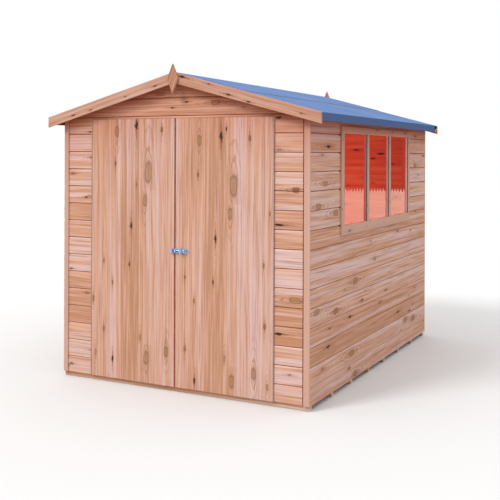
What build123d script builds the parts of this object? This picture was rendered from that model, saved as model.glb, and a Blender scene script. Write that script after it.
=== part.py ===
"""Apex garden shed with double doors in the gable end and a window in one side wall."""
import os
from math import cos, radians, tan

from build123d import *

# Whole shed, over the cladding, with the ridge height taken on the felt
shed_width = 1790
shed_length = 2390
ridge_height = 1986
roof_pitch = 15

# Wall boards and framing
cladding_thickness = 12
cladding_bottom = 30
frame_depth = 28
stud_width = 34
rail_height = 34
plate_height = 42
joint_gap = 0.5
side_stud_share = 0.49

# Floor
bearer_count = 8
bearer_width = 28
bearer_height = 29.5
bearer_end_inset = 4
deck_thickness = 12

# Doorway and door leaves
front_strip_width = 228.5
hinge_gap = 7
seam_offset = -22
seam_gap = 6
door_head_lap = 5
head_gap = 5
door_thickness = 12
door_proud = 5
stop_lap = 15
ledge_height = 95
ledge_thickness = 20
ledge_shares = (0.06, 0.47, 0.88)
ledge_inset = 12
brace_width = 80

# Continuous hinges
knuckle_radius = 3
knuckle_count = 13
knuckle_space = 0.8
pin_radius = 1.5
pin_clearance = 0.05
leaf_plate = 1
leaf_setback = 4

# Window in the right wall
pane_count = 3
pane_view_width = 427
mullion_width = 42
short_stud_width = 28
pane_view_height = 582
window_head_drop = 82
glass_thickness = 3
glass_lap = 6
trim_thickness = 12
jamb_trim_width = 44
head_trim_height = 44
sill_trim_height = 60

# Corner strips
corner_trim_width = 40
corner_trim_thickness = 14

# Roof
sheet_thickness = 11
felt_thickness = 3
eaves_overhang = 84
felt_drop = 48
felt_roll_width = 1000
verge_overhang = 48
eaves_batten_width = 28
batten_depth = 28
rafter_depth = 45
purlin_share = 0.56
truss_width = 28
collar_share = 0.385
collar_height = 50
collar_drop = 4
collar_thickness = 20

# Barge boards and finials
barge_end_lap = 3
barge_rise = 6.5
barge_width = 70
barge_thickness = 12
finial_width = 80
finial_height = 186
finial_drop = 47
finial_thickness = 12

# Pad bolt
bolt_height_share = 0.508
bolt_radius = 6
bolt_stand_off = 10
bolt_plate_thickness = 2
bolt_plate_height = 30
bolt_plate_start = -17
bolt_plate_end = 81
bolt_tip = -15
bolt_tail = 68
strap_thickness = 3
strap_length = 10
strap_clearance = 0.3
guide_starts = (-14, 52)
lug_centre = 33
lug_width = 21
lug_height = 44
lug_thickness = 3
lug_stand_off = 12
neck_radius = 3.5
keep_start = -59
keep_length = 30
keep_clearance = 1.5
keep_plate_height = 32

# Positions that follow from the sizes above
half_width = shed_width / 2
back_face = shed_length / 2
front_face = -back_face
clad_x = half_width - cladding_thickness
clad_y = back_face - cladding_thickness
frame_x = clad_x - frame_depth
frame_y = clad_y - frame_depth
slope = tan(radians(roof_pitch))
upright = cos(radians(roof_pitch))
deck_top = bearer_height + deck_thickness
sheet_half_span = half_width + eaves_overhang
ridge_felt_half_span = felt_roll_width * upright / 2
sheet_top = ridge_height - felt_thickness / upright
sheet_under = sheet_top - sheet_thickness / upright
batten_under = sheet_under - batten_depth / upright
rafter_under = sheet_under - rafter_depth / upright
frame_top = sheet_under - slope * frame_x - plate_height
plate_top = frame_top + rail_height
stud_foot = deck_top + rail_height + joint_gap
stud_head = frame_top - joint_gap
opening_half = half_width - front_strip_width
stop_x = opening_half - stop_lap
verge_y = back_face + verge_overhang
hinge_x = opening_half - hinge_gap / 2
leaf_edge = opening_half - hinge_gap
leaf_front = front_face - door_proud
leaf_back = leaf_front + door_thickness
door_top = frame_top + door_head_lap
door_height = door_top - cladding_bottom
felt_x = sheet_half_span + felt_thickness
felt_bottom = ridge_height - slope * felt_x - felt_drop
window_top = frame_top - window_head_drop
window_bottom = window_top - pane_view_height
pane_pitch = pane_view_width + mullion_width
window_half = (pane_count * pane_pitch - mullion_width) / 2
cut_half = window_half + glass_lap + joint_gap
cut_bottom = window_bottom - glass_lap - joint_gap
cut_top = window_top + glass_lap + joint_gap
barge_half_span = felt_x + barge_end_lap
barge_apex = ridge_height + barge_rise
finial_centre = barge_apex - finial_drop
bolt_height = cladding_bottom + bolt_height_share * door_height
low_corner = (Align.MIN, Align.MIN, Align.MIN)
sides = {"left": -1, "right": 1}


def timber(x0, x1, y0, y1, z0, z1):
    """Square-cut piece between two planes each way."""
    with Locations((min(x0, x1), min(y0, y1), min(z0, z1))):
        Box(abs(x1 - x0), abs(y1 - y0), abs(z1 - z0), align=low_corner)


def section(points, y0, y1):
    """Piece of one upright cross-section that runs along the shed."""
    with BuildSketch(Plane.XZ.offset(-max(y0, y1))) as outline:
        Polygon(*points, align=None)
    extrude(outline.sketch, amount=abs(y1 - y0))


def under(height, x):
    """Height of a roof layer at a distance from the ridge."""
    return height - slope * abs(x)


def pitched(side, top, x0, x1, depth):
    """Cross-section of a plumb-cut piece that lies along the roof slope."""
    drop = depth / upright
    return [
        (side * x0, under(top, x0)),
        (side * x1, under(top, x1)),
        (side * x1, under(top, x1) - drop),
        (side * x0, under(top, x0) - drop),
    ]


def rafter_section(side):
    """Gable rafter, cut level where it lands on the head rail."""
    seat = plate_top + joint_gap
    return [
        (side * joint_gap, under(sheet_under, joint_gap)),
        (side * frame_x, under(sheet_under, frame_x)),
        (side * frame_x, seat),
        (side * (rafter_under - seat) / slope, seat),
        (side * joint_gap, under(rafter_under, joint_gap)),
    ]


def king_stud(y0, y1):
    """Upright under the ridge, between the head rail and the gable rafters."""
    half = stud_width / 2
    timber(-half, half, y0, y1, plate_top + joint_gap, under(rafter_under, half) - joint_gap)


# Floor bearers, set evenly from end to end under the deck and out under the side cladding
bearer_end = half_width - bearer_end_inset
bearer_pitch = (2 * clad_y - bearer_width) / (bearer_count - 1)
with BuildPart() as floor_bearers:
    for number in range(bearer_count):
        start = -clad_y + number * bearer_pitch
        timber(-bearer_end, bearer_end, start, start + bearer_width, 0, bearer_height)

# Floor deck inside the cladding
with BuildPart() as floor_deck:
    timber(-clad_x, clad_x, -clad_y, clad_y, bearer_height, deck_top)

# Front cladding beside and over the doorway
with BuildPart() as front_wall_left:
    section(
        [
            (-clad_x, cladding_bottom),
            (-opening_half, cladding_bottom),
            (-opening_half, door_top + head_gap),
            (-clad_x, door_top + head_gap),
        ],
        front_face,
        -clad_y,
    )

with BuildPart() as front_wall_right:
    section(
        [
            (clad_x, cladding_bottom),
            (opening_half, cladding_bottom),
            (opening_half, door_top + head_gap),
            (clad_x, door_top + head_gap),
        ],
        front_face,
        -clad_y,
    )

with BuildPart() as front_gable_wall:
    section(
        [
            (-clad_x, door_top + head_gap),
            (clad_x, door_top + head_gap),
            (clad_x, under(sheet_under, clad_x)),
            (0, sheet_under),
            (-clad_x, under(sheet_under, clad_x)),
        ],
        front_face,
        -clad_y,
    )

# Back cladding, one gable-ended sheet of boards
with BuildPart() as back_wall:
    section(
        [
            (-clad_x, cladding_bottom),
            (clad_x, cladding_bottom),
            (clad_x, under(sheet_under, clad_x)),
            (0, sheet_under),
            (-clad_x, under(sheet_under, clad_x)),
        ],
        clad_y,
        back_face,
    )


def side_cladding(side, bottom):
    """Side cladding section with its top edge cut to the roof slope."""
    return [
        (side * half_width, bottom),
        (side * clad_x, bottom),
        (side * clad_x, under(sheet_under, clad_x)),
        (side * half_width, under(sheet_under, half_width)),
    ]


# Side cladding, whole on the left and in four around the window on the right
with BuildPart() as left_wall:
    section(side_cladding(-1, cladding_bottom), front_face, back_face)

with BuildPart() as right_wall_lower:
    timber(clad_x, half_width, front_face, back_face, cladding_bottom, cut_bottom)

with BuildPart() as right_wall_front:
    timber(clad_x, half_width, front_face, -cut_half, cut_bottom, cut_top)

with BuildPart() as right_wall_rear:
    timber(clad_x, half_width, cut_half, back_face, cut_bottom, cut_top)

with BuildPart() as right_wall_head:
    section(side_cladding(1, cut_top), front_face, back_face)

# Front frame: corner and jamb studs, foot rails, head rail, king stud and gable rafters
with BuildPart() as front_frame:
    timber(-frame_x, frame_x, -clad_y, -frame_y, frame_top, plate_top)
    king_stud(-clad_y, -frame_y)
    for side in sides.values():
        section(rafter_section(side), -clad_y, -frame_y)
        timber(side * stop_x, side * frame_x, -clad_y, -frame_y, deck_top, stud_foot - joint_gap)
        for inner in (stop_x, frame_x - stud_width):
            outer = inner + stud_width
            timber(side * inner, side * outer, -clad_y, -frame_y, stud_foot, stud_head)

# Back frame: foot rail, corner and centre studs, head rail, king stud and gable rafters
with BuildPart() as back_frame:
    timber(-frame_x, frame_x, frame_y, clad_y, deck_top, stud_foot - joint_gap)
    timber(-frame_x, frame_x, frame_y, clad_y, frame_top, plate_top)
    king_stud(frame_y, clad_y)
    timber(-stud_width / 2, stud_width / 2, frame_y, clad_y, stud_foot, stud_head)
    for side in sides.values():
        section(rafter_section(side), frame_y, clad_y)
        inner = frame_x - stud_width
        timber(side * inner, side * frame_x, frame_y, clad_y, stud_foot, stud_head)


def wall_plate(side):
    """Eaves plate of a side frame, its top cut to the roof slope."""
    section(
        [
            (side * frame_x, frame_top),
            (side * clad_x, frame_top),
            (side * clad_x, under(sheet_under, clad_x)),
            (side * frame_x, under(sheet_under, frame_x)),
        ],
        -clad_y,
        clad_y,
    )


# Left frame: foot rail, eaves plate and studs
end_stud_start = clad_y - stud_width
with BuildPart() as left_frame:
    timber(-clad_x, -frame_x, -clad_y, clad_y, deck_top, stud_foot - joint_gap)
    wall_plate(-1)
    for share in (-side_stud_share, 0, side_stud_share):
        start = share * clad_y - stud_width / 2
        timber(-clad_x, -frame_x, start, start + stud_width, stud_foot, stud_head)
    for end in (-1, 1):
        timber(-clad_x, -frame_x, end * end_stud_start, end * clad_y, stud_foot, stud_head)

# Right frame: the same, with a sill rail, a lintel rail and short studs under the window
sill_rail_bottom = cut_bottom - rail_height
lintel_top = cut_top + rail_height
light_half = cut_half - joint_gap
mullion_offsets = (-pane_pitch / 2, pane_pitch / 2)
with BuildPart() as right_frame:
    timber(frame_x, clad_x, -clad_y, clad_y, deck_top, stud_foot - joint_gap)
    wall_plate(1)
    timber(frame_x, clad_x, -light_half, light_half, sill_rail_bottom, cut_bottom)
    timber(frame_x, clad_x, -light_half, light_half, cut_top, lintel_top)
    for end in (-1, 1):
        for start in (cut_half, end_stud_start):
            finish = start + stud_width
            timber(frame_x, clad_x, end * start, end * finish, stud_foot, stud_head)
    for offset in mullion_offsets:
        start = offset - short_stud_width / 2
        finish = start + short_stud_width
        timber(frame_x, clad_x, start, finish, stud_foot, sill_rail_bottom - joint_gap)

# Window trim: head, sill and jambs lapping from the cladding over the glass, and mullions between
trim_x = half_width + trim_thickness
trim_half = window_half + jamb_trim_width
with BuildPart() as window_head:
    timber(half_width, trim_x, -trim_half, trim_half, window_top, window_top + head_trim_height)

with BuildPart() as window_sill:
    timber(
        half_width, trim_x, -trim_half, trim_half, window_bottom - sill_trim_height, window_bottom
    )

with BuildPart() as window_jambs:
    for end in (-1, 1):
        timber(
            half_width, trim_x, end * window_half, end * trim_half, window_bottom, window_top
        )

with BuildPart() as window_mullions:
    for offset in mullion_offsets:
        start = offset - mullion_width / 2
        timber(half_width, trim_x, start, start + mullion_width, window_bottom, window_top)

# Window panes in the cut cladding, bedded on the back of the trim and the mullions
with BuildPart() as window_panes:
    for number in range(pane_count):
        start = -window_half + number * pane_pitch
        timber(
            half_width - glass_thickness,
            half_width,
            start - glass_lap,
            start + pane_view_width + glass_lap,
            window_bottom - glass_lap,
            window_top + glass_lap,
        )

# Roof sheets, one each side of the ridge
with BuildPart() as roof_sheet_left:
    section(pitched(-1, sheet_top, 0, sheet_half_span, sheet_thickness), -verge_y, verge_y)

with BuildPart() as roof_sheet_right:
    section(pitched(1, sheet_top, 0, sheet_half_span, sheet_thickness), -verge_y, verge_y)

# Roof battens: eaves, verges, one purlin and one ridge batten to each side
batten_limit = sheet_half_span - eaves_batten_width


def roof_battens(side):
    """Battens under one roof sheet."""
    section(
        [
            (side * batten_limit, under(sheet_under, batten_limit)),
            (side * sheet_half_span, under(sheet_under, sheet_half_span)),
            (side * sheet_half_span, felt_bottom),
            (side * batten_limit, felt_bottom),
        ],
        -verge_y,
        verge_y,
    )
    for start in (joint_gap, purlin_share * frame_x):
        section(
            pitched(side, sheet_under, start, start + batten_depth, batten_depth),
            -frame_y,
            frame_y,
        )
    verge = pitched(side, sheet_under, joint_gap, batten_limit - joint_gap, batten_depth)
    section(verge, -verge_y, -verge_y + batten_depth)
    section(verge, verge_y - batten_depth, verge_y)


with BuildPart() as roof_battens_left:
    roof_battens(-1)

with BuildPart() as roof_battens_right:
    roof_battens(1)

# Roof truss half way along, two rafters under the purlins and a collar on their face
truss_half = truss_width / 2
collar_half_span = collar_share * frame_x
collar_top = batten_under - slope * collar_half_span - collar_drop
with BuildPart() as roof_truss:
    for side in sides.values():
        section(
            pitched(side, batten_under, joint_gap, frame_x, rafter_depth), -truss_half, truss_half
        )
    timber(
        -collar_half_span,
        collar_half_span,
        truss_half + joint_gap,
        truss_half + joint_gap + collar_thickness,
        collar_top - collar_height,
        collar_top,
    )


def felt_section(side):
    """Felt of one roof slope, turned down over the eaves."""
    return [
        (0, ridge_height),
        (side * felt_x, under(ridge_height, felt_x)),
        (side * felt_x, felt_bottom),
        (side * sheet_half_span, felt_bottom),
        (side * sheet_half_span, under(sheet_top, sheet_half_span)),
        (0, sheet_top),
    ]


# Roof felt: one sheet to each slope and a roll-wide cap over the ridge
with BuildPart() as roof_felt_left:
    section(felt_section(-1), -verge_y, verge_y)

with BuildPart() as roof_felt_right:
    section(felt_section(1), -verge_y, verge_y)

cap_top = ridge_height + felt_thickness / upright
with BuildPart() as roof_felt_ridge:
    section(
        [
            (0, ridge_height),
            (ridge_felt_half_span, under(ridge_height, ridge_felt_half_span)),
            (ridge_felt_half_span, under(cap_top, ridge_felt_half_span)),
            (0, cap_top),
            (-ridge_felt_half_span, under(cap_top, ridge_felt_half_span)),
            (-ridge_felt_half_span, under(ridge_height, ridge_felt_half_span)),
        ],
        -verge_y,
        verge_y,
    )

# Barge boards on the verges and a diamond finial over each apex joint
barge_y = verge_y + barge_thickness
finial_y = barge_y + finial_thickness
finial_diamond = [
    (0, finial_centre - finial_height / 2),
    (finial_width / 2, finial_centre),
    (0, finial_centre + finial_height / 2),
    (-finial_width / 2, finial_centre),
]
with BuildPart() as front_barge_boards:
    for side in sides.values():
        section(pitched(side, barge_apex, joint_gap, barge_half_span, barge_width), -barge_y, -verge_y)

with BuildPart() as back_barge_boards:
    for side in sides.values():
        section(pitched(side, barge_apex, joint_gap, barge_half_span, barge_width), verge_y, barge_y)

with BuildPart() as front_finial:
    section(finial_diamond, -finial_y, -barge_y)

with BuildPart() as back_finial:
    section(finial_diamond, barge_y, finial_y)

# Corner strips over the cladding joints
corner_x = half_width - corner_trim_width
with BuildPart() as corner_trims:
    for side in sides.values():
        strip = [
            (side * corner_x, cladding_bottom),
            (side * half_width, cladding_bottom),
            (side * half_width, under(sheet_under, half_width)),
            (side * corner_x, under(sheet_under, corner_x)),
        ]
        section(strip, front_face - corner_trim_thickness, front_face)
        section(strip, back_face, back_face + corner_trim_thickness)

# Door leaves: a skin of boards with three ledges and two braces behind it
seam_half = seam_gap / 2
ledge_heights = [cladding_bottom + share * door_height for share in ledge_shares]


def leaf_boards(hinge_edge, seam_edge):
    """Boarded skin of one leaf."""
    timber(hinge_edge, seam_edge, leaf_front, leaf_back, cladding_bottom, door_top)


def leaf_battens(side, seam_edge):
    """Ledges across one leaf, and braces that rise from the hinge edge."""
    hinge_end = side * (stop_x - ledge_inset)
    seam_end = seam_edge + side * ledge_inset
    back = leaf_back + ledge_thickness
    for low in ledge_heights:
        timber(hinge_end, seam_end, leaf_back, back, low, low + ledge_height)
    for low, high in zip(ledge_heights, ledge_heights[1:]):
        foot = low + ledge_height + joint_gap
        head = high - joint_gap
        section(
            [
                (hinge_end, foot),
                (hinge_end - side * brace_width, foot),
                (seam_end, head),
                (seam_end + side * brace_width, head),
            ],
            leaf_back,
            back,
        )


with BuildPart() as left_door_boards:
    leaf_boards(-leaf_edge, seam_offset - seam_half)

with BuildPart() as left_door_battens:
    leaf_battens(-1, seam_offset - seam_half)

with BuildPart() as right_door_boards:
    leaf_boards(leaf_edge, seam_offset + seam_half)

with BuildPart() as right_door_battens:
    leaf_battens(1, seam_offset + seam_half)

# Continuous hinges: knuckles taken in turn by the jamb leaf, which holds the pin, and the door leaf
knuckle_pitch = door_height / knuckle_count
knuckle_length = knuckle_pitch - knuckle_space
plate_front = leaf_front + leaf_setback


def knuckles(side, first, plate_inner):
    """Every second knuckle of a hinge, each with the tongue that joins it to its plate."""
    for number in range(first, knuckle_count, 2):
        low = cladding_bottom + number * knuckle_pitch + knuckle_space / 2
        with Locations((side * hinge_x, leaf_front, low)):
            Cylinder(knuckle_radius, knuckle_length, align=(Align.CENTER, Align.CENTER, Align.MIN))
        timber(
            side * plate_inner,
            side * (plate_inner + leaf_plate),
            leaf_front,
            plate_front,
            low,
            low + knuckle_length,
        )


def jamb_leaf(side):
    """Hinge plate on the end of the cladding, with its knuckles and the pin."""
    inner = opening_half - leaf_plate
    timber(side * inner, side * opening_half, plate_front, -clad_y, cladding_bottom, door_top)
    knuckles(side, 0, inner)
    with Locations((side * hinge_x, leaf_front, cladding_bottom + knuckle_space)):
        Cylinder(
            pin_radius,
            door_height - 2 * knuckle_space,
            align=(Align.CENTER, Align.CENTER, Align.MIN),
        )


def door_leaf(side):
    """Hinge plate on the edge of the door, with its bored knuckles."""
    timber(
        side * leaf_edge,
        side * (leaf_edge + leaf_plate),
        plate_front,
        leaf_back,
        cladding_bottom,
        door_top,
    )
    knuckles(side, 1, leaf_edge)
    with Locations((side * hinge_x, leaf_front, cladding_bottom)):
        Cylinder(
            pin_radius + pin_clearance,
            door_height,
            align=(Align.CENTER, Align.CENTER, Align.MIN),
            mode=Mode.SUBTRACT,
        )


with BuildPart() as left_hinge_jamb_leaf:
    jamb_leaf(-1)

with BuildPart() as right_hinge_jamb_leaf:
    jamb_leaf(1)

with BuildPart() as left_hinge_door_leaf:
    door_leaf(-1)

with BuildPart() as right_hinge_door_leaf:
    door_leaf(1)

# Pad bolt: plate with two guide straps, sliding rod with a padlock lug, and the keep
bolt_face = leaf_front - bolt_plate_thickness
bolt_axis_y = leaf_front - bolt_stand_off


def strap(start, length, clearance):
    """Bent strap around the rod, with a square opening."""
    inner = bolt_radius + clearance
    outer = inner + strap_thickness
    low = bolt_height - outer
    high = bolt_height + outer
    front = bolt_axis_y - inner
    timber(start, start + length, front, bolt_face, low, bolt_height - inner)
    timber(start, start + length, front, bolt_face, bolt_height + inner, high)
    timber(start, start + length, front - strap_thickness, front, low, high)


with BuildPart() as bolt_plate:
    round_radius = bolt_plate_height / 2
    straight_end = bolt_plate_end - round_radius
    timber(
        bolt_plate_start,
        straight_end,
        bolt_face,
        leaf_front,
        bolt_height - round_radius,
        bolt_height + round_radius,
    )
    with BuildSketch(Plane.XZ.offset(-leaf_front)):
        with Locations((straight_end, bolt_height)):
            Circle(round_radius)
    extrude(amount=bolt_plate_thickness)
    for start in guide_starts:
        strap(start, strap_length, strap_clearance)

with BuildPart() as bolt_rod:
    with BuildSketch(Plane.YZ.offset(bolt_tip)):
        with Locations((bolt_axis_y, bolt_height)):
            Circle(bolt_radius)
    extrude(amount=bolt_tail - bolt_tip)
    lug_back = bolt_axis_y - lug_stand_off
    with BuildSketch(Plane.XZ.offset(-bolt_axis_y)):
        with Locations((lug_centre, bolt_height)):
            Circle(neck_radius)
    extrude(amount=lug_stand_off)
    section(
        [
            (lug_centre, bolt_height - lug_height / 2),
            (lug_centre + lug_width / 2, bolt_height),
            (lug_centre, bolt_height + lug_height / 2),
            (lug_centre - lug_width / 2, bolt_height),
        ],
        lug_back - lug_thickness,
        lug_back,
    )

with BuildPart() as bolt_keep:
    timber(
        keep_start,
        keep_start + keep_length,
        bolt_face,
        leaf_front,
        bolt_height - keep_plate_height / 2,
        bolt_height + keep_plate_height / 2,
    )
    strap(keep_start, keep_length, keep_clearance)

# One file for each piece
pieces = {
    "floor_bearers": floor_bearers,
    "floor_deck": floor_deck,
    "front_wall_left": front_wall_left,
    "front_wall_right": front_wall_right,
    "front_gable_wall": front_gable_wall,
    "back_wall": back_wall,
    "left_wall": left_wall,
    "right_wall_lower": right_wall_lower,
    "right_wall_front": right_wall_front,
    "right_wall_rear": right_wall_rear,
    "right_wall_head": right_wall_head,
    "front_frame": front_frame,
    "back_frame": back_frame,
    "left_frame": left_frame,
    "right_frame": right_frame,
    "window_head": window_head,
    "window_sill": window_sill,
    "window_jambs": window_jambs,
    "window_mullions": window_mullions,
    "window_panes": window_panes,
    "roof_sheet_left": roof_sheet_left,
    "roof_sheet_right": roof_sheet_right,
    "roof_battens_left": roof_battens_left,
    "roof_battens_right": roof_battens_right,
    "roof_truss": roof_truss,
    "roof_felt_left": roof_felt_left,
    "roof_felt_right": roof_felt_right,
    "roof_felt_ridge": roof_felt_ridge,
    "front_barge_boards": front_barge_boards,
    "back_barge_boards": back_barge_boards,
    "front_finial": front_finial,
    "back_finial": back_finial,
    "corner_trims": corner_trims,
    "left_door_boards": left_door_boards,
    "left_door_battens": left_door_battens,
    "right_door_boards": right_door_boards,
    "right_door_battens": right_door_battens,
    "left_hinge_jamb_leaf": left_hinge_jamb_leaf,
    "right_hinge_jamb_leaf": right_hinge_jamb_leaf,
    "left_hinge_door_leaf": left_hinge_door_leaf,
    "right_hinge_door_leaf": right_hinge_door_leaf,
    "bolt_plate": bolt_plate,
    "bolt_rod": bolt_rod,
    "bolt_keep": bolt_keep,
}
os.makedirs("parts", exist_ok=True)
for label, piece in pieces.items():
    piece.part.label = label
    export_step(piece.part, f"parts/{label}.step")
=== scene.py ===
import functools
import math
import random

import bmesh
import bpy
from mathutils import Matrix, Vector


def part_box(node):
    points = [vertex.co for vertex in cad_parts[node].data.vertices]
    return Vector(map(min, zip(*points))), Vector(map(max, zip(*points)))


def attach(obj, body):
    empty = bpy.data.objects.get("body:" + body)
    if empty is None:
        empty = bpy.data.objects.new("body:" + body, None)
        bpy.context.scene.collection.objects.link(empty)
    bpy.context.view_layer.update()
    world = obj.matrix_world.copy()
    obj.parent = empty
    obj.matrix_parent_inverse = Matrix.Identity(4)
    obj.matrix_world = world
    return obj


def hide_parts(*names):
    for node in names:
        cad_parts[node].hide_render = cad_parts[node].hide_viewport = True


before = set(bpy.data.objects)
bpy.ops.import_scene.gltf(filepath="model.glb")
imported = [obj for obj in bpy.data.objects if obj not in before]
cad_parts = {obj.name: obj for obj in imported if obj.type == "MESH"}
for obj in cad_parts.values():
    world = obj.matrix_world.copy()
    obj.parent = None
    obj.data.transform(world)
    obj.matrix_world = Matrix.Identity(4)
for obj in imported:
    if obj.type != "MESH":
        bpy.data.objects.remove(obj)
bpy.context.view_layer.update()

# Floor bearers: sawn softwood laths, pressure treated, laid across under the deck and nailed to it.
# They carry the whole shed on the ground.


def linear(colour):
    """Linear RGBA of an sRGB hex colour."""
    parts = [int(colour[i:i + 2], 16) / 255 for i in (0, 2, 4)]
    return [c / 12.92 if c <= 0.04045 else ((c + 0.055) / 1.055) ** 2.4 for c in parts] + [1]


# What each kind of node calls its mode.
modes = {"Math": "operation", "VectorMath": "operation", "MapRange": "interpolation_type", "Mix": "data_type"}


def add_node(tree, kind, inputs=(), stops=(), **settings):
    """Adds a shader node, sets it up, and links or fills its inputs, which are named or in order. The kind
    may say the mode too. A node among the inputs stands for the output that it has in use. The stops are
    the places and colours along a ramp."""
    kind, *mode = kind.split()
    node = tree.nodes.new("ShaderNode" + kind)
    if mode:
        setattr(node, modes[kind], mode[0])
    for name, value in settings.items():
        setattr(node, name, value)
    for key, value in inputs.items() if isinstance(inputs, dict) else enumerate(inputs):
        if isinstance(value, bpy.types.Node):
            value = next(socket for socket in value.outputs if socket.enabled)
        if isinstance(value, bpy.types.NodeSocket):
            tree.links.new(value, node.inputs[key])
        else:
            node.inputs[key].default_value = value
    if stops:
        ramp = node.color_ramp.elements
        ramp[0].position, ramp[1].position = stops[0][0], stops[-1][0]
        for stop in stops[1:-1]:
            ramp.new(stop[0])
        for element, stop in zip(ramp, stops):
            element.color = stop[1]
    return node


def blank_material(name):
    """A new material with no nodes, and the function that adds them to it."""
    material = bpy.data.materials.new(name)
    material.use_nodes = True
    material.node_tree.nodes.clear()
    return material, functools.partial(add_node, material.node_tree)


# The maps that the wood reads.
wood_maps = ("grain", "knot", "knot_size", "board_tone")
# A knot is nearly three times as long as it is wide, and a brown one, half way to black, only twice.
knot_length, brown_loss = 2.9, 3


def softwood(name, sapwood, pale, middle, deep, line, knot, resin, pith, roughness, lively=1.0,
             eaves_shade=None):
    """Softwood with growth streaks along the board, knots that the grain runs round, and a tone of its own
    on each board. The maps hold metres: along and across the board, and the way from the nearest knot.
    The last argument, a roof's height at the ridge and its fall, paints shade on the wood close under that
    roof."""
    material, add = blank_material(name)
    (along, row), (off_along, off_across), (half, dark), (paleness, sapness) = (
        add("SeparateXYZ", (add("UVMap", uv_map=map_name),)).outputs[:2] for map_name in wood_maps)
    number = add("Math FLOOR", (row,))
    across = add("Math FRACT", (row,))
    # Each board reads the patterns in a layer of its own.
    layer = add("Math MULTIPLY", (number, 3.7))
    # The grain bends round each knot.
    short = add("Math SUBTRACT", (dark, 1))
    short = add("Math MULTIPLY", (short, dark))
    slender = add("Math MULTIPLY_ADD", (short, brown_loss, knot_length))
    half_long = add("Math MULTIPLY", (half, slender))
    along_part = add("Math DIVIDE", (off_along, half_long))
    across_part = add("Math DIVIDE", (off_across, half))
    oval = add("CombineXYZ", (along_part, across_part))
    reach = add("VectorMath LENGTH", (oval,))
    bend = add("MapRange SMOOTHSTEP", {"Value": reach, "From Min": 2.4, "From Max": 0, "To Max": 0.9})
    push = add("Math MULTIPLY", (off_across, bend))
    ran = add("Math SUBTRACT", (across, push))
    spot = add("CombineXYZ", (along, ran, layer))
    # The streaks wander a few millimetres over each metre of board.
    slow = add("VectorMath MULTIPLY", (spot, (0.9, 6, 1)))
    drift = add("TexNoise", {"Vector": slow, "Scale": 1, "Detail": 2})
    lean = add("MapRange", {"Value": drift, "From Min": 0.25, "From Max": 0.75, "To Min": -0.008,
               "To Max": 0.008}, clamp=False)
    shifted = add("Math ADD", (ran, lean))
    line_spot = add("CombineXYZ", (along, shifted, layer))
    # Growth streaks 6 to 25 mm wide, then fine ring lines about 6 mm apart.
    wide = add("VectorMath MULTIPLY", (line_spot, (1.8, 84, 1)))
    streak = add("TexNoise", {"Vector": wide, "Scale": 1, "Detail": 3, "Roughness": 0.6})
    fine = add("VectorMath MULTIPLY", (line_spot, (2.8, 185, 1)))
    ring = add("TexNoise", {"Vector": fine, "Scale": 1, "Detail": 2, "Roughness": 0.5})
    toned = add("Math MULTIPLY_ADD", (paleness, 0.13 * lively, streak))
    darkest, palest = max(0.5 - 0.2 / lively, 0), min(0.5 + 0.22 / lively, 1)
    body = add("ValToRGB", (toned,),
               [(darkest, linear(deep)), (0.5, linear(middle)), (palest, linear(pale))])
    # Pale sapwood runs in bands along some boards.
    broad = add("VectorMath MULTIPLY", (line_spot, (0.5, 27, 1.7)))
    sap = add("TexNoise", {"Vector": broad, "Scale": 1, "Detail": 1})
    sap_sum = add("Math MULTIPLY_ADD", (sapness, 0.3, sap))
    sap_mask = add("MapRange SMOOTHSTEP",
                   {"Value": sap_sum, "From Min": 0.62, "From Max": 0.84, "To Max": 0.85 * min(lively, 1)})
    ring_mask = add("MapRange SMOOTHSTEP",
                    {"Value": ring, "From Min": 0.5, "From Max": 0.72, "To Max": 0.6 * lively})
    # Round each knot the wood darkens, rings close about it, and resin tails run out of it along the grain.
    lump_spot = add("CombineXYZ", (along_part, across_part, layer))
    lump = add("TexNoise", {"Vector": lump_spot, "Scale": 1.2, "Detail": 3})
    uneven = add("MapRange", {"Value": lump, "To Min": -0.5, "To Max": 0.5})
    ragged = add("Math MULTIPLY_ADD", (dark, 1.2, 0.6))
    edge = add("Math MULTIPLY_ADD", (uneven, ragged, reach))
    halo = add("MapRange SMOOTHSTEP", {"Value": edge, "From Min": 1.9, "From Max": 0.8, "To Max": 0.55})
    half_way = add("Math MULTIPLY", (along_part, 0.45))
    arch = add("CombineXYZ", (half_way, across_part))
    arch_reach = add("VectorMath LENGTH", (arch,))
    arch_edge = add("Math MULTIPLY_ADD", (uneven, 0.8, arch_reach))
    phase = add("Math MULTIPLY", (arch_edge, 8))
    turn = add("Math SINE", (phase,))
    near = add("MapRange", {"Value": arch_reach, "From Min": 3, "From Max": 0.8, "To Max": 0.65})
    loop = add("MapRange SMOOTHSTEP", {"Value": turn, "From Min": 0.2, "To Max": near})
    flat = add("Math ABSOLUTE", (across_part,))
    side = add("MapRange SMOOTHSTEP", {"Value": flat, "From Min": 0.7, "From Max": 0.1})
    far = add("Math ABSOLUTE", (along_part,))
    fade = add("MapRange SMOOTHSTEP", {"Value": far, "From Min": 4.5, "From Max": 0.8, "To Max": 0.8})
    tail = add("Math MULTIPLY", (side, fade))
    tail_share = add("Math MULTIPLY", (tail, dark))
    layers = ((sap_mask, sapwood), (ring_mask, line), (halo, deep), (loop, line), (tail_share, resin))
    for mask, colour in layers:
        body = add("Mix RGBA", {0: mask, 6: body, 7: linear(colour)})
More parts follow.
